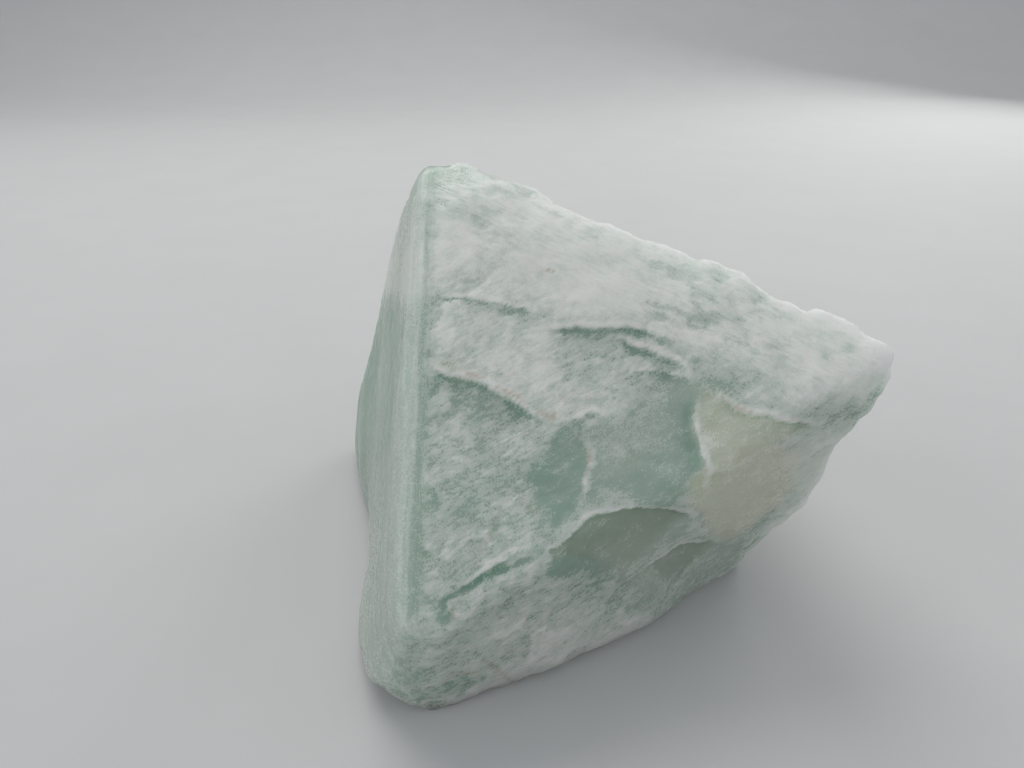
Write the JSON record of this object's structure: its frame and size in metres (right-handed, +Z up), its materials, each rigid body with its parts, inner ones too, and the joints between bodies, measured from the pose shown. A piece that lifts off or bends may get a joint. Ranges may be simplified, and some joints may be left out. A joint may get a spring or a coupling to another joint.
{
  "type": "rough fluorite octahedron",
  "caption": "Rough pale green fluorite octahedron with frosted, stepped cleavage faces and worn corners, lying on a flat broken underside; a display or lapidary stone.",
  "frame": {"origin": "middle of the bounding box, on the surface the stone rests on", "axes": "+Z up; +X to the right of the view that shows the broad stepped face; +Y away from that view"},
  "size_m": [0.0602, 0.0686, 0.0479],
  "materials": {
    "fluorite": "frosted, milky, pale sea green"
  },
  "bodies": {
    "root": {"fluorite_crystal": "fluorite"}
  },
  "joints": []
}
